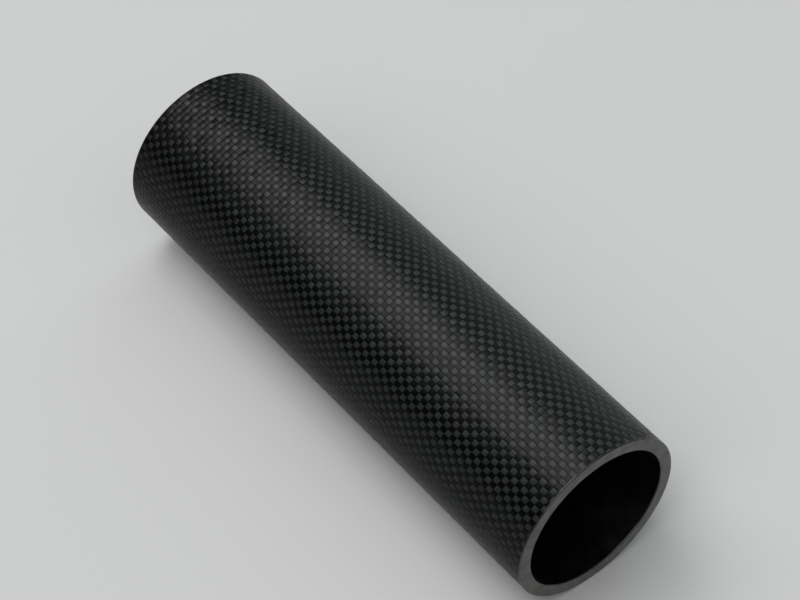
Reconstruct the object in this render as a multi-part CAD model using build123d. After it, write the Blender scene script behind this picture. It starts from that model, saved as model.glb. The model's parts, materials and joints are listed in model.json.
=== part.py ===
from build123d import *
import os

# A straight round tube of woven carbon fibre laminate, cut square at both ends.
# Millimetres, +Z up. The tube lies along X. The origin is on its axis at mid-length.

# Driving dimensions
outside_diameter = 60.0
wall = 4.5
length = 200.0
outer_edge_radius = 0.4   # sanded edge between the outside and each sawn end
bore_edge_radius = 0.4    # sanded edge between the bore and each sawn end

# Sizes that follow from them
bore_diameter = outside_diameter - 2 * wall
wall_middle_radius = (outside_diameter + bore_diameter) / 4


def wall_section():
    """The cut wall above the axis: a long rectangle with its four corners rounded."""
    with BuildSketch(Plane.XZ) as section:
        with Locations((0, wall_middle_radius)):
            Rectangle(length, wall)
        fillet(section.vertices().group_by(Axis.Y)[-1], outer_edge_radius)
        fillet(section.vertices().group_by(Axis.Y)[0], bore_edge_radius)
    return section.sketch


def tube():
    """The whole piece: the wall section turned once round the X axis."""
    return revolve(wall_section(), axis=Axis.X)


os.makedirs("parts", exist_ok=True)
piece = tube()
piece.label = "tube"
export_step(piece, "parts/tube.step")
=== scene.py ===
import json
import math

import bpy
import numpy as np
from mathutils import Matrix, Vector

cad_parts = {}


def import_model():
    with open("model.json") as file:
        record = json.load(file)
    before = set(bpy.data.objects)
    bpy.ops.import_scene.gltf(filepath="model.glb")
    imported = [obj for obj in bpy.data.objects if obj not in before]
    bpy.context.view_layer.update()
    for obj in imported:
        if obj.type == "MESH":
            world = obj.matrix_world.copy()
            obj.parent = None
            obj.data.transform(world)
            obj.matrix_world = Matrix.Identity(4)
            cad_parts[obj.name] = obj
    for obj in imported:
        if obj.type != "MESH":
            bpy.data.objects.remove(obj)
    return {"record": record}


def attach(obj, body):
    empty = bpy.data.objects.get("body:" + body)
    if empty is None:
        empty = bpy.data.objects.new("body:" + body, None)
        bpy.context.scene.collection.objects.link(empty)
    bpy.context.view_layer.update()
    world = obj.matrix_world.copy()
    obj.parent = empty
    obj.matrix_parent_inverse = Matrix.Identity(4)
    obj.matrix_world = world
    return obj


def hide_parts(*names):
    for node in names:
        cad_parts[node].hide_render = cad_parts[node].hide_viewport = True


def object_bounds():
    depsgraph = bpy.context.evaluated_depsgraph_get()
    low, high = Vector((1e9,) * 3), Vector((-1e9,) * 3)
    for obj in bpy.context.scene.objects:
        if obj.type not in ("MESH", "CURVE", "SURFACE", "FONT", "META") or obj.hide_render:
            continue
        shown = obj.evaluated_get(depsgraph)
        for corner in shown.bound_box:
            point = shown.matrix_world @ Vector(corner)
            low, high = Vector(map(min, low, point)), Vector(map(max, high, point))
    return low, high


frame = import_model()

# Carbon fibre tube: the woven outside as real relief, two sawn ends and a smooth bore.
# Metres, in the model's own frame: the axis is X, the origin is at mid-length.

cad_low, cad_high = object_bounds()
mounts = {mount["name"]: mount for mount in frame["record"]["mounts"]}

# Sizes taken from the model
half_length = cad_high.x
outer_radius = cad_high.z
bore_radius = mounts["bore"]["dims"]["r_mm"] / 1000
edge_radius = half_length - mounts["outside"]["dims"]["length_mm"] / 2000
woven_half_length = half_length - edge_radius

# The weave: plain weave, with tows along the tube and round it
tows_round = 100   # tows that run along the tube, counted round it
tows_along = 89   # tows that run round the tube, counted along it
spare_tows = 4   # tows laid past each sawn end, so that the bowed ones still reach it
laid_tows = tows_along + 2 * spare_tows
tow_width_along = 2 * woven_half_length / tows_along
tow_width_round = math.tau * outer_radius / tows_round
stretches = 4   # the woven outside is made in this many pieces

# The crown of a tow: how deep its edge lies below its middle, and how flat the middle is
axial_side = (0.00008, 6.0)   # tows along the tube: across the tow
axial_dive = (0.00007, 6.0)   # and along it, where the next tow crosses
hoop_side = (0.00004, 6.0)   # tows round the tube: across the tow
hoop_dive = (0.00003, 6.0)   # and along it
hoop_sink = 0.00003   # how far the tows round the tube lie below the others
gap_depth = 0.00005   # how far the crease between two tows lies below their edges
fade_length = 0.0006   # the relief runs out over this length at a sawn end

# How the tows are uneven
lean_spread = 0.018   # the usual slope of one cell
lean_limit = 2   # the steepest lean, in times the usual one
lean_seed = 11
tone_seed = 7
tow_tone_share = 0.6   # how much of a cell's tone is its tow's. The rest is its own
waviness = 0.00010   # how far a tow wanders from its straight line
waves = ((3, 41, 0.0), (7, -73, 1.3), (5, 117, 4.1))   # waves round the tube, radians for each metre, start
wave_shift = 0.05   # how far the wandering round the tube is moved from the one along it
wave_turn = 2.0   # and how far it is turned
calm_length = 0.004   # the tows stop wandering over this length at a sawn end
bow_middle = -0.0028   # how far the tows round the tube bow at mid-length
bow_growth = -0.026   # and how much more for each metre towards the near end
bow_angle = math.radians(105)   # the angle round the tube where a bowed tow stands square

# Mesh steps
tow_steps = (0, 0.07, 0.20, 0.5, 0.80, 0.93)   # mesh lines across one tow, closest at its edges
steps_per_tow = len(tow_steps)
round_steps = tows_round * steps_per_tow
edge_steps = 6
face_steps = 24
bore_steps = 8
no_width = 1e-9   # a face narrower than this lies wholly past a sawn end

# The tows: fibres like dark drawn metal, under clear resin
# Those round the tube are darker and rougher. Their far darker colour is painted shade: the same fibre,
# darkened to stand for its dimmer reflections where it runs round the tube. That is fitted to the photo,
# not known of the real fibre
axial_tow = {
    "colour": (0.0150, 0.0182, 0.0180),
    "roughness": 0.42,
    # painted shade: the fibres are darkened in the creases between tows, partly also for the resin-rich
    # gaps there
    "gap_shade": 0.6,   # how much darker the fibres are in the gaps
    "streaks": (0.7, 18),   # lines of fibre for each tow, along the tube and round it
    "rotation": 0.0,   # which way the reflections stretch, in turns
}
hoop_tow = {
    # painted shade: the same fibre as the tows along the tube, given a ten times darker colour
    "colour": (0.0015, 0.0018, 0.0018),
    "roughness": 0.80,
    "gap_shade": 0.8,
    "streaks": (18, 0.7),
    "rotation": 0.25,
}
tone_spread = 0.14   # how much the tone changes from cell to cell
gap_width = 0.06   # in tows
corner_power = 8.0   # how square the crown of a tow is: 2 is round, 8 nearly square
seam_width = 0.12   # the seams along the tube, in tows
seam_dullness = 0.8   # how much of the resin's shine is lost in them
streak_roughness = 0.10
streak_bump = (0.15, 0.00002)   # strength, and depth in metres
fibre_metal = 1.0
fibre_anisotropy = 1.0
grazing_tint = (0.2, 0.2, 0.2)
resin_weight = 0.66
resin_roughness = 0.2
resin_ior = 1.25

# Scuffs, cloudy patches, the sawn ends and the bore
worn_colour = (0.06, 0.062, 0.06)
worn_roughness = 0.1
skin_wear_stretch = 0.0008
edge_wear_stretch = 0.0003
patch_low, patch_high = 0.32, 0.68   # the noise between these makes the patches
resin_black = (0.004, 0.0046, 0.0045)
edge_roughness = 0.12
sawn_dark = (0.0437, 0.0466, 0.0437)
sawn_light = (0.161, 0.171, 0.159)
sawn_roughness = 0.45
sawn_bump = (0.3, 0.00002)
ply_thickness = 0.00022
ply_wobble = 2.5   # how far the rings of the plies wander, in radians
cloud_share = 0.35   # how much of the sawn face's tone is cloudy
ply_share = 0.2   # and how much is rings. The rest is flecks
bore_dark = (0.0008, 0.0014, 0.0012)
bore_light = (0.0016, 0.0024, 0.0021)
bore_roughness = 0.3
patch_roughness = 0.12   # how much rougher the smooth resin is in a patch
dull_specular = 0.3

# Floor, surround and lamps
floor_colour = (0.524, 0.525, 0.549)
floor_patch = 1.01   # how much paler the floor is in a patch
floor_roughness = 0.9
floor_size = 6.0
surround_colour = (0.20, 0.20, 0.193)
lamp_distance = 4.0
warm_light = (1.0, 1.0, 0.955)
cool_light = (0.90, 1.0, 0.98)
lamps = (   # name, place along X, angle round X, width along X, spread round X, brightness, colour
    ("key", -0.35, 104, 0.60, 40, 3.83, warm_light),
    ("front", 0.18, 126, 0.46, 48, 2.47, warm_light),
    ("card", -0.35, 33, 0.60, 66, 0.90, cool_light),
    ("left", -0.52, 137, 0.26, 26, 0.64, warm_light),
    ("far", -0.52, 75, 0.26, 18, 3.2, warm_light),
    ("middle", -0.52, 93, 0.26, 18, 1.5, warm_light),
    ("side", 0.62, 100, 0.40, 90, 0.55, warm_light),
)

# Camera
lens_mm = 109.30
sensor_mm = 36.0
camera_place = (0.40290, -0.31459, 0.57938)
camera_elevation = 48.093   # degrees down from level
camera_heading = 141.592   # degrees from +X


def wander(x, angle):
    """A slow, smooth wave between -1 and 1, for tows that aren't quite straight."""
    return sum(np.sin(turns * angle + pace * x + start) for turns, pace, start in waves) / len(waves)


def end_fade(x):
    """1 over the tube's length, falling smoothly to 0 at each sawn end."""
    inside = np.clip((woven_half_length - np.abs(x)) / fade_length, 0, 1)
    return inside * inside * (3 - 2 * inside)


def tow_lines(tows):
    """The places of the mesh lines over a number of tows, counted in tows."""
    return (np.arange(tows)[:, None] + np.array(tow_steps)).ravel()


def lines_along():
    """The places of the mesh lines along the tube, from before the far end to past the near one."""
    return np.append(tow_lines(laid_tows), laid_tows) - spare_tows


def bow(x, angle):
    """How far a tow that runs round the tube has slid along it at an angle."""
    size = bow_middle + bow_growth * x
    return size / 2 * (1 - np.cos(2 * (angle - bow_angle)))


def crown(across, shape):
    """How far below its crown a tow is, and how fast it falls, from its middle (0) to its edge (0.5)."""
    depth, power = shape
    reach = np.abs(2 * across)
    return depth * reach ** power, depth * power * 2 * np.sign(across) * reach ** (power - 1)


def leans(u, v):
    """How much the tow in each cell leans along and round the tube, in metres of depth for each tow."""
    chance = np.random.default_rng(lean_seed)
    share = chance.normal(0, 1, (2, laid_tows, tows_round))
    share = np.clip(share, -lean_limit, lean_limit) * lean_spread
    column = np.minimum(np.floor(u).astype(int) + spare_tows, laid_tows - 1)
    row = np.floor(v).astype(int)
    return share[0, column, row] * tow_width_along, share[1, column, row] * tow_width_round


def relief(u, v):
    """How deep the skin lies at each point, and how fast it gets deeper for each tow along and round."""
    s, t = u % 1 - 0.5 + 0 * v, v % 1 - 0.5 + 0 * u
    axial_v, axial_slope_v = crown(t, axial_side)
    axial_u, axial_slope_u = crown(s, axial_dive)
    hoop_u, hoop_slope_u = crown(s, hoop_side)
    hoop_v, hoop_slope_v = crown(t, hoop_dive)
    axial, hoop = axial_u + axial_v, hoop_u + hoop_v + hoop_sink
    runs_round = (np.floor(u) + np.floor(v)) % 2 == 1
    crease_u, crease_v = s == -0.5, t == -0.5
    lean_u, lean_v = leans(u, v)
    leaning = s * lean_u + t * lean_v + (np.abs(lean_u) + np.abs(lean_v)) / 2
    crowned = np.where(runs_round, hoop, axial) + leaning
    depth = np.where(crease_u | crease_v, np.maximum(axial, hoop) + gap_depth, crowned)
    slope_u = (np.where(runs_round, hoop_slope_u, axial_slope_u) + lean_u) * ~crease_u
    slope_v = (np.where(runs_round, hoop_slope_v, axial_slope_v) + lean_v) * ~crease_v
    return depth, slope_u, slope_v


def weave_grid():
    """The points and normals of the whole woven outside, as one grid."""
    u = lines_along()[:, None]
    v = tow_lines(tows_round)[None, :]
    depth, slope_u, slope_v = relief(u, v)
    x = (u / tows_along * 2 - 1) * woven_half_length + 0 * v
    angle = v / tows_round * math.tau + 0 * u
    x = np.clip(x + bow(x, angle), -woven_half_length, woven_half_length)
    fade = end_fade(x)
    radius = outer_radius - depth * fade
    tilt_x = slope_u * fade / tow_width_along
    tilt_round = slope_v * fade / tow_width_round
    wandering = waviness * np.clip((woven_half_length - np.abs(x)) / calm_length, 0, 1)
    x = x + wandering * wander(x, angle)
    angle = angle + wandering / outer_radius * wander(x + wave_shift, angle + wave_turn)
    sine, cosine = np.sin(angle), np.cos(angle)
    points = np.stack([x, radius * cosine, radius * sine], -1)
    normals = np.stack([tilt_x, cosine - tilt_round * sine, sine + tilt_round * cosine], -1)
    return points, normals / np.linalg.norm(normals, axis=-1, keepdims=True)


def closed_quads(rings, ring_points, flip=False):
    """The faces between rings of points, each ring with the same number of points."""
    ring = np.arange(rings - 1)[:, None] * ring_points
    here = np.arange(ring_points)[None, :]
    there = (here + 1) % ring_points
    corners = [ring + here, ring + there, ring + ring_points + there, ring + ring_points + here]
    quads = np.stack(corners[::-1] if flip else corners, -1)
    return quads.reshape(-1, 4)


def trimmed(points, normals, quads):
    """Leaves out the faces that lie wholly past a sawn end, and the points that no face uses."""
    x = points[:, 0][quads]
    kept = x.max(1) - x.min(1) > no_width
    used, renumbered = np.unique(quads[kept], return_inverse=True)
    return points[used], normals[used], renumbered.reshape(-1, 4), kept


def new_mesh(name, points, quads, materials, material_numbers=None, normals=None):
    """A smooth mesh object from arrays of points and quads."""
    mesh = bpy.data.meshes.new(name)
    mesh.vertices.add(len(points))
    mesh.vertices.foreach_set("co", points.astype(np.float32).ravel())
    mesh.loops.add(quads.size)
    mesh.loops.foreach_set("vertex_index", quads.astype(np.int32).ravel())
    mesh.polygons.add(len(quads))
    mesh.polygons.foreach_set("loop_start", np.arange(0, quads.size, 4, dtype=np.int32))
    for material in materials:
        mesh.materials.append(material)
    if material_numbers is not None:
        mesh.polygons.foreach_set("material_index", material_numbers.astype(np.int32))
    mesh.update(calc_edges=True)
    mesh.validate()
    mesh.shade_smooth()
    if normals is not None:
        mesh.normals_split_custom_set_from_vertices(normals.reshape(-1, 3).tolist())
    piece = bpy.data.objects.new(name, mesh)
    bpy.context.collection.objects.link(piece)
    return piece


def cell_tones():
    """How pale each cell of the weave is: partly its tow's tone, partly its own."""
    chance = np.random.default_rng(tone_seed)
    of_axial = chance.normal(0, 1, tows_round)
    of_hoop = chance.normal(0, 1, laid_tows)
    of_cell = chance.normal(0, 1, (laid_tows, tows_round))
    runs_round = np.add.outer(np.arange(laid_tows), np.arange(tows_round)) % 2
    of_tow = np.where(runs_round, of_hoop[:, None], of_axial[None, :])
    return of_tow * tow_tone_share + of_cell * (1 - tow_tone_share)


def add_tones(piece, tones):
    """Stores the tone of each face, for the materials to read."""
    layer = piece.data.attributes.new("tone", "FLOAT", "FACE")
    layer.data.foreach_set("value", tones.astype(np.float32).ravel())


def add_places(piece, column, row):
    """Stores at each face corner how many tows along and round it lies, for the materials to read."""
    lines_round = np.append(tow_lines(tows_round), tows_round)
    u = lines_along()[np.stack([column, column, column + 1, column + 1], -1)]
    v = lines_round[np.stack([row, row + 1, row + 1, row], -1)]
    layer = piece.data.attributes.new("tow place", "FLOAT_VECTOR", "CORNER")
    layer.data.foreach_set("vector", np.stack([u, v, 0 * u], -1).astype(np.float32).ravel())


def woven_outside(materials):
    """The woven skin in several stretches that meet between two tows."""
    points, normals = weave_grid()
    tones = cell_tones()
    meetings = [spare_tows + round(tows_along * k / stretches) for k in range(1, stretches)]
    pieces = []
    for number, (first, last) in enumerate(zip([0] + meetings, meetings + [laid_tows]), 1):
        span = slice(first * steps_per_tow, last * steps_per_tow + 1)
        quads = closed_quads(points[span].shape[0], round_steps)
        column, row = np.divmod(np.arange(len(quads)), round_steps)
        part, facing = points[span].reshape(-1, 3), normals[span].reshape(-1, 3)
        part, facing, quads, kept = trimmed(part, facing, quads)
        column, row = column[kept] + first * steps_per_tow, row[kept]
        i, j = column // steps_per_tow, row // steps_per_tow
        piece = new_mesh(f"woven_outside_{number}", part, quads, materials, (i + j) % 2, facing)
        add_tones(piece, tones[i, j])
        add_places(piece, column, row)
        pieces.append(piece)
    return pieces


def turned(name, profile, materials, numbers=None, flip=False):
    """A surface turned round the X axis from a row of (x, radius) points."""
    angle = tow_lines(tows_round) / tows_round * math.tau
    x = np.array([point[0] for point in profile])[:, None] + 0 * angle
    radius = np.array([point[1] for point in profile])[:, None]
    points = np.stack([x, radius * np.cos(angle), radius * np.sin(angle)], -1)
    quads = closed_quads(len(profile), round_steps, flip=flip)
    repeated = None if numbers is None else np.repeat(numbers, round_steps)
    return new_mesh(name, points.reshape(-1, 3), quads, materials, repeated)


def quarter_turn(centre, start, steps):
    """Points on a quarter circle from the start angle, turning back towards the bore."""
    angles = [start - math.pi / 2 * k / steps for k in range(steps + 1)]
    return [(centre[0] + edge_radius * math.cos(a), centre[1] + edge_radius * math.sin(a)) for a in angles]


def end_profile():
    """From the outside, over the outer edge, down the sawn face and over the bore edge."""
    outer = quarter_turn((woven_half_length, outer_radius - edge_radius), math.pi / 2, edge_steps)
    inner = quarter_turn((woven_half_length, bore_radius + edge_radius), 0, edge_steps)
    top, bottom = outer[-1][1], inner[0][1]
    face = [(half_length, top + (bottom - top) * k / face_steps) for k in range(1, face_steps)]
    return outer + face + inner


def sawn_ends(materials):
    """Both sawn ends: black resin on the two rounded edges, cut laminate between them."""
    near = end_profile()
    far = [(-x, radius) for x, radius in near]
    numbers = [0] * edge_steps + [1] * face_steps + [0] * edge_steps
    return [
        turned("sawn_end_near", near, materials, numbers),
        turned("sawn_end_far", far, materials, numbers, flip=True),
    ]


def bore(materials):
    """The smooth inside wall between the two rounded bore edges."""
    profile = [(woven_half_length * (1 - 2 * k / bore_steps), bore_radius) for k in range(bore_steps + 1)]
    return turned("bore_wall", profile, materials)


def new_material(name):
    """A material with its node tree and its Principled shader."""
    material = bpy.data.materials.new(name)
    material.use_nodes = True
    tree = material.node_tree
    return material, tree, tree.nodes["Principled BSDF"]


def new_group(name, inputs, outputs):
    """An empty shader group with named inputs and outputs. Returns it with its two end nodes."""
    group = bpy.data.node_groups.new(name, "ShaderNodeTree")
    for label, kind, value in inputs:
        socket = group.interface.new_socket(label, in_out="INPUT", socket_type=kind)
        socket.default_value = value
    for label, kind in outputs:
        group.interface.new_socket(label, in_out="OUTPUT", socket_type=kind)
    return group, group.nodes.new("NodeGroupInput"), group.nodes.new("NodeGroupOutput")


def calculate(tree, operation, *values):
    """A Math node. Each value is a number or another node's output."""
    node = tree.nodes.new("ShaderNodeMath")
    node.operation = operation
    for socket, value in zip(node.inputs, values):
        if isinstance(value, bpy.types.NodeSocket):
            tree.links.new(value, socket)
        else:
            socket.default_value = value
    return node.outputs[0]


def blended(tree, share, first, second):
    """A colour between two others. Each is a colour or another node's output."""
    mix = tree.nodes.new("ShaderNodeMix")
    mix.data_type = "RGBA"
    tree.links.new(share, mix.inputs["Factor"])
    for label, value in (("A", first), ("B", second)):
        if isinstance(value, bpy.types.NodeSocket):
            tree.links.new(value, mix.inputs[label])
        else:
            mix.inputs[label].default_value = (*value, 1)
    return mix.outputs["Result"]


def placed(tree, group, **values):
    """A shader group placed in a material with its own values. Returns its first output."""
    node = tree.nodes.new("ShaderNodeGroup")
    node.node_tree = group
    for label, value in values.items():
        node.inputs[label.replace("_", " ")].default_value = value
    return node.outputs[0]


def bumped(tree, shader, height, bump):
    """Makes the surface look raised where the height is large."""
    node = tree.nodes.new("ShaderNodeBump")
    node.inputs["Strength"].default_value = bump[0]
    node.inputs["Distance"].default_value = bump[1]
    tree.links.new(height, node.inputs["Height"])
    tree.links.new(node.outputs["Normal"], shader.inputs["Normal"])


def object_place(tree):
    """The place on the object in metres."""
    return tree.nodes.new("ShaderNodeTexCoord").outputs["Object"]


def tow_place(tree):
    """The place on the weave, counted in tows."""
    place = tree.nodes.new("ShaderNodeAttribute")
    place.attribute_name = "tow place"
    return place.outputs["Vector"]


def patch_group():
    """Shader group: cloudy patches between 0 and 1."""
    group, entry, leave = new_group("Cloudy patches", [
        ("Patches per metre", "NodeSocketFloat", 500.0),
        ("Fineness", "NodeSocketFloat", 3.0),
    ], [("Patch", "NodeSocketFloat")])
    noise = group.nodes.new("ShaderNodeTexNoise")
    spread = group.nodes.new("ShaderNodeMapRange")
    spread.interpolation_type = "SMOOTHSTEP"
    spread.inputs["From Min"].default_value = patch_low
    spread.inputs["From Max"].default_value = patch_high
    group.links.new(object_place(group), noise.inputs["Vector"])
    group.links.new(entry.outputs["Patches per metre"], noise.inputs["Scale"])
    group.links.new(entry.outputs["Fineness"], noise.inputs["Detail"])
    group.links.new(noise.outputs["Fac"], spread.inputs["Value"])
    group.links.new(spread.outputs["Result"], leave.inputs["Patch"])
    return group


def wear_group(patches):
    """Shader group: scuffs that come in patches over the last stretch before a sawn end."""
    group, entry, leave = new_group("Scuffed end", [
        ("Stretch", "NodeSocketFloat", 0.001),
        ("Patches per metre", "NodeSocketFloat", 900.0),
    ], [("Wear", "NodeSocketFloat")])
    split = group.nodes.new("ShaderNodeSeparateXYZ")
    group.links.new(object_place(group), split.inputs[0])
    reach = calculate(group, "SUBTRACT", half_length, calculate(group, "ABSOLUTE", split.outputs["X"]))
    near = calculate(group, "SUBTRACT", 1.0, calculate(group, "DIVIDE", reach, entry.outputs["Stretch"]))
    near = calculate(group, "MAXIMUM", near, 0.0)
    patch = group.nodes.new("ShaderNodeGroup")
    patch.node_tree = patches
    group.links.new(entry.outputs["Patches per metre"], patch.inputs["Patches per metre"])
    wear = calculate(group, "MULTIPLY", near, patch.outputs["Patch"])
    group.links.new(wear, leave.inputs["Wear"])
    return group


def streak_group():
    """Shader group: fine lines of fibre that run the way the two scales say."""
    group, entry, leave = new_group("Fibre streaks", [
        ("Lines along tube", "NodeSocketFloat", 1.0),
        ("Lines round tube", "NodeSocketFloat", 1.0),
    ], [("Height", "NodeSocketFloat")])
    nodes, links = group.nodes, group.links
    scales = nodes.new("ShaderNodeCombineXYZ")
    stretch = nodes.new("ShaderNodeVectorMath")
    stretch.operation = "MULTIPLY"
    noise = nodes.new("ShaderNodeTexNoise")
    noise.inputs["Scale"].default_value = 1.0
    noise.inputs["Detail"].default_value = 2.0
    links.new(entry.outputs["Lines along tube"], scales.inputs["X"])
    links.new(entry.outputs["Lines round tube"], scales.inputs["Y"])
    links.new(tow_place(group), stretch.inputs[0])
    links.new(scales.outputs["Vector"], stretch.inputs[1])
    links.new(stretch.outputs["Vector"], noise.inputs["Vector"])
    links.new(noise.outputs["Fac"], leave.inputs["Height"])
    return group


def from_middle(tree):
    """How far a place is from the middle of its tow, along the tube and round it, counted in tows."""
    cell = tree.nodes.new("ShaderNodeVectorMath")
    cell.operation = "FRACTION"
    split = tree.nodes.new("ShaderNodeSeparateXYZ")
    tree.links.new(tow_place(tree), cell.inputs[0])
    tree.links.new(cell.outputs["Vector"], split.inputs[0])
    sides = [calculate(tree, "SUBTRACT", split.outputs[axis], 0.5) for axis in "XY"]
    return [calculate(tree, "ABSOLUTE", side) for side in sides]


def near_edge(tree, reach, width):
    """0 over the middle of a tow, rising smoothly to 1 at its edge over a width counted in tows."""
    rise = tree.nodes.new("ShaderNodeMapRange")
    rise.interpolation_type = "SMOOTHSTEP"
    rise.inputs["From Max"].default_value = 0.5
    tree.links.new(calculate(tree, "SUBTRACT", 0.5, width), rise.inputs["From Min"])
    tree.links.new(reach, rise.inputs["Value"])
    return rise.outputs["Result"]


def gap_group():
    """Shader group: 1 in the gap round a tow's rounded crown, 0 on the crown."""
    group, entry, leave = new_group("Gaps between tows", [
        ("Gap width", "NodeSocketFloat", 0.2),
    ], [("Gap", "NodeSocketFloat")])
    sides = [calculate(group, "POWER", side, corner_power) for side in from_middle(group)]
    reach = calculate(group, "POWER", calculate(group, "ADD", *sides), 1 / corner_power)
    group.links.new(near_edge(group, reach, entry.outputs["Gap width"]), leave.inputs["Gap"])
    return group


def seam_group():
    """Shader group: 1 in the seams that run along the tube, 0 between them."""
    group, entry, leave = new_group("Seams along the tube", [
        ("Seam width", "NodeSocketFloat", 0.12),
    ], [("Seam", "NodeSocketFloat")])
    across = from_middle(group)[1]
    group.links.new(near_edge(group, across, entry.outputs["Seam width"]), leave.inputs["Seam"])
    return group


def shader_groups():
    """The shader groups, each made once, for the materials to place with their own values."""
    patches = patch_group()
    return {
        "streaks": streak_group(),
        "gaps": gap_group(),
        "seams": seam_group(),
        "patches": patches,
        "wear": wear_group(patches),
    }


def fibre_colour(tree, colour, gap, gap_shade):
    """The colour of the fibres: a little uneven from cell to cell, and darker in the gaps, which is painted
    shade in the creases between tows and partly stands for the resin-rich gaps there.
    """
    tone = tree.nodes.new("ShaderNodeAttribute")
    tone.attribute_name = "tone"
    vary = calculate(tree, "MULTIPLY_ADD", tone.outputs["Fac"], tone_spread, 1.0)
    # painted shade in the creases between tows, partly also the resin-rich gaps
    shade = calculate(tree, "MULTIPLY_ADD", gap, -gap_shade, 1.0)
    fibre = tree.nodes.new("ShaderNodeVectorMath")
    fibre.operation = "SCALE"
    fibre.inputs[0].default_value = colour
    tree.links.new(calculate(tree, "MULTIPLY", vary, shade), fibre.inputs["Scale"])
    return fibre.outputs["Vector"]


def stretched_metal(tree, shader, rotation):
    """Metal whose reflections stretch across its lines, which run along the tube or round it."""
    tangent = tree.nodes.new("ShaderNodeTangent")
    tangent.direction_type = "RADIAL"
    tangent.axis = "X"
    tree.links.new(tangent.outputs["Tangent"], shader.inputs["Tangent"])
    shader.inputs["Metallic"].default_value = fibre_metal
    shader.inputs["Specular Tint"].default_value = (*grazing_tint, 1)
    shader.inputs["Anisotropic"].default_value = fibre_anisotropy
    shader.inputs["Anisotropic Rotation"].default_value = rotation


def tow_material(name, groups, colour, roughness, gap_shade, streaks, rotation):
    """Carbon tows under clear resin: long thin reflections across the fibres, none along them."""
    material, tree, shader = new_material(name)
    along, around = streaks
    lines = placed(tree, groups["streaks"], Lines_along_tube=along, Lines_round_tube=around)
    gap = placed(tree, groups["gaps"], Gap_width=gap_width)
    seam = placed(tree, groups["seams"], Seam_width=seam_width)
    wear = placed(tree, groups["wear"], Stretch=skin_wear_stretch)
    fibre = fibre_colour(tree, colour, gap, gap_shade)
    rough = calculate(tree, "MULTIPLY_ADD", lines, streak_roughness, roughness - streak_roughness / 2)
    rough = calculate(tree, "MULTIPLY_ADD", wear, worn_roughness, rough)
    resin = calculate(tree, "MULTIPLY_ADD", seam, -resin_weight * seam_dullness, resin_weight)
    tree.links.new(blended(tree, wear, fibre, worn_colour), shader.inputs["Base Color"])
    tree.links.new(rough, shader.inputs["Roughness"])
    tree.links.new(resin, shader.inputs["Coat Weight"])
    bumped(tree, shader, lines, streak_bump)
    stretched_metal(tree, shader, rotation)
    shader.inputs["Coat Roughness"].default_value = resin_roughness
    shader.inputs["Coat IOR"].default_value = resin_ior
    return material


def plies(tree, cloud):
    """The plies as faint wandering rings round the axis, between 0 and 1."""
    flat = tree.nodes.new("ShaderNodeVectorMath")
    flat.operation = "MULTIPLY"
    flat.inputs[1].default_value = (0.0, 1.0, 1.0)
    radius = tree.nodes.new("ShaderNodeVectorMath")
    radius.operation = "LENGTH"
    tree.links.new(object_place(tree), flat.inputs[0])
    tree.links.new(flat.outputs["Vector"], radius.inputs[0])
    turns = calculate(tree, "MULTIPLY", radius.outputs["Value"], math.tau / (2 * ply_thickness))
    wave = calculate(tree, "SINE", calculate(tree, "MULTIPLY_ADD", cloud, ply_wobble, turns))
    return calculate(tree, "MULTIPLY_ADD", wave, 0.5, 0.5)


def sawn_material(groups):
    """The cut face of the laminate: grey and matt, with plies as faint rings and dark flecks."""
    material, tree, shader = new_material("sawn laminate")
    cloud = placed(tree, groups["patches"], Patches_per_metre=260.0, Fineness=2.0)
    fleck = placed(tree, groups["patches"], Patches_per_metre=1700.0, Fineness=3.0)
    tone = calculate(tree, "MULTIPLY", plies(tree, cloud), ply_share)
    tone = calculate(tree, "MULTIPLY_ADD", cloud, cloud_share, tone)
    tone = calculate(tree, "MULTIPLY_ADD", fleck, 1 - cloud_share - ply_share, tone)
    rough = calculate(tree, "MULTIPLY_ADD", fleck, 0.15, sawn_roughness)
    tree.links.new(blended(tree, tone, sawn_dark, sawn_light), shader.inputs["Base Color"])
    tree.links.new(rough, shader.inputs["Roughness"])
    bumped(tree, shader, tone, sawn_bump)
    shader.inputs["Specular IOR Level"].default_value = dull_specular
    return material


def edge_material(groups):
    """Black resin on the two rounded edges of a sawn end, glossy where it isn't scuffed."""
    material, tree, shader = new_material("edge resin")
    wear = placed(tree, groups["wear"], Stretch=edge_wear_stretch)
    patch = placed(tree, groups["patches"], Patches_per_metre=1200.0)
    rough = calculate(tree, "MULTIPLY_ADD", patch, patch_roughness, edge_roughness)
    tree.links.new(blended(tree, wear, resin_black, worn_colour), shader.inputs["Base Color"])
    tree.links.new(rough, shader.inputs["Roughness"])
    return material


def bore_material(groups):
    """Smooth black resin against the mandrel, with faint patches where it flowed."""
    material, tree, shader = new_material("bore resin")
    patch = placed(tree, groups["patches"], Patches_per_metre=180.0)
    rough = calculate(tree, "MULTIPLY_ADD", patch, patch_roughness, bore_roughness)
    tree.links.new(blended(tree, patch, bore_dark, bore_light), shader.inputs["Base Color"])
    tree.links.new(rough, shader.inputs["Roughness"])
    shader.inputs["Specular IOR Level"].default_value = dull_specular
    return material


def floor_material(groups):
    """A plain pale grey floor, very slightly uneven in tone."""
    material, tree, shader = new_material("floor")
    patch = placed(tree, groups["patches"], Patches_per_metre=6.0)
    paler = tuple(value * floor_patch for value in floor_colour)
    tree.links.new(blended(tree, patch, floor_colour, paler), shader.inputs["Base Color"])
    shader.inputs["Roughness"].default_value = floor_roughness
    shader.inputs["Specular IOR Level"].default_value = 0.0
    return material


def floor(groups):
    """The floor that the tube lies on."""
    mesh = bpy.data.meshes.new("floor")
    signs = [(-1, -1), (1, -1), (1, 1), (-1, 1)]
    corners = [(x * floor_size, y * floor_size, -outer_radius) for x, y in signs]
    mesh.from_pydata(corners, [], [(0, 1, 2, 3)])
    piece = bpy.data.objects.new("floor", mesh)
    bpy.context.collection.objects.link(piece)
    mesh.materials.append(floor_material(groups))


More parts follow.
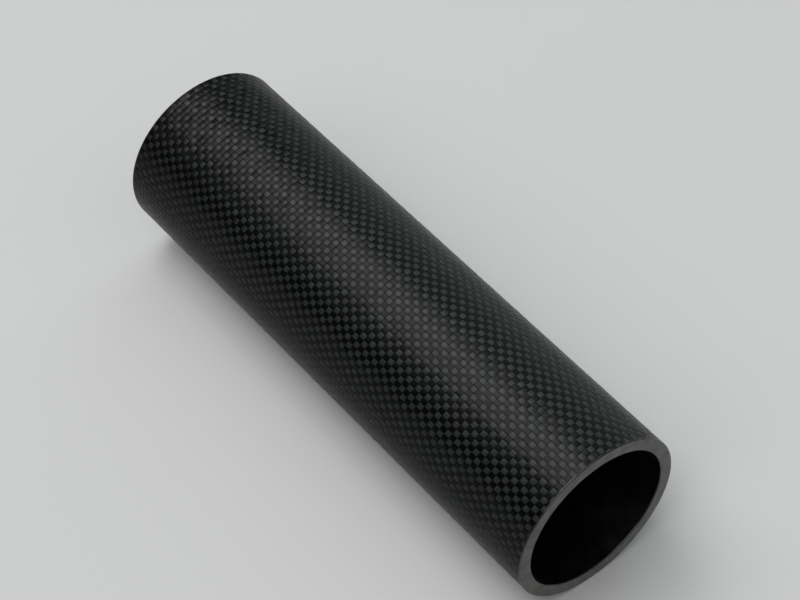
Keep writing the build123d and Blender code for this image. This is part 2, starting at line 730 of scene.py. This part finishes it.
def soft_box(name, along, turn, width, spread, brightness, colour):
    """A rectangular lamp that faces the tube, placed by where its light comes from.

    along is the X part of its direction and width how much of X it covers. turn is its angle round X,
    from +Y over the top, and spread how many degrees it covers.
    """
    level = math.sqrt(1 - along * along)
    towards = Vector((along, level * math.cos(math.radians(turn)), level * math.sin(math.radians(turn))))
    side = Vector((level, -along * towards.y / level, -along * towards.z / level))
    up = towards.cross(side)
    reach = math.asin(along + width / 2) - math.asin(along - width / 2)
    lamp = bpy.data.lights.new(name, "AREA")
    lamp.shape = "RECTANGLE"
    lamp.size = 2 * math.tan(reach / 2) * lamp_distance
    lamp.size_y = 2 * math.tan(math.radians(spread) / 2) * level * lamp_distance
    lamp.energy = brightness * math.pi * lamp.size * lamp.size_y
    lamp.color = colour
    holder = bpy.data.objects.new(name, lamp)
    holder.location = towards * lamp_distance
    holder.rotation_euler = Matrix([[side[k], up[k], towards[k]] for k in range(3)]).to_euler()
    bpy.context.collection.objects.link(holder)


def world():
    """A dim even surround."""
    surround = bpy.data.worlds.new("surround")
    bpy.context.scene.world = surround
    surround.use_nodes = True
    background = surround.node_tree.nodes["Background"]
    background.inputs["Color"].default_value = (*surround_colour, 1)
    background.inputs["Strength"].default_value = 1.0


def camera():
    """The photo's point of view: a long lens from above, over the near end."""
    lens = bpy.data.cameras.new("camera")
    lens.sensor_width = sensor_mm
    lens.lens = lens_mm
    holder = bpy.data.objects.new("camera", lens)
    holder.location = camera_place
    holder.rotation_euler = (math.radians(90 - camera_elevation), 0, math.radians(camera_heading - 90))
    bpy.context.collection.objects.link(holder)
    bpy.context.scene.camera = holder


groups = shader_groups()
tows = [
    tow_material("tows along the tube", groups, **axial_tow),
    tow_material("tows round the tube", groups, **hoop_tow),
]
made = woven_outside(tows) + sawn_ends([edge_material(groups), sawn_material(groups)])
made.append(bore([bore_material(groups)]))
for piece in made:
    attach(piece, "root")
    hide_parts("tube")

floor(groups)
world()
for lamp in lamps:
    soft_box(*lamp)
camera()
bpy.context.scene.view_settings.view_transform = "Standard"
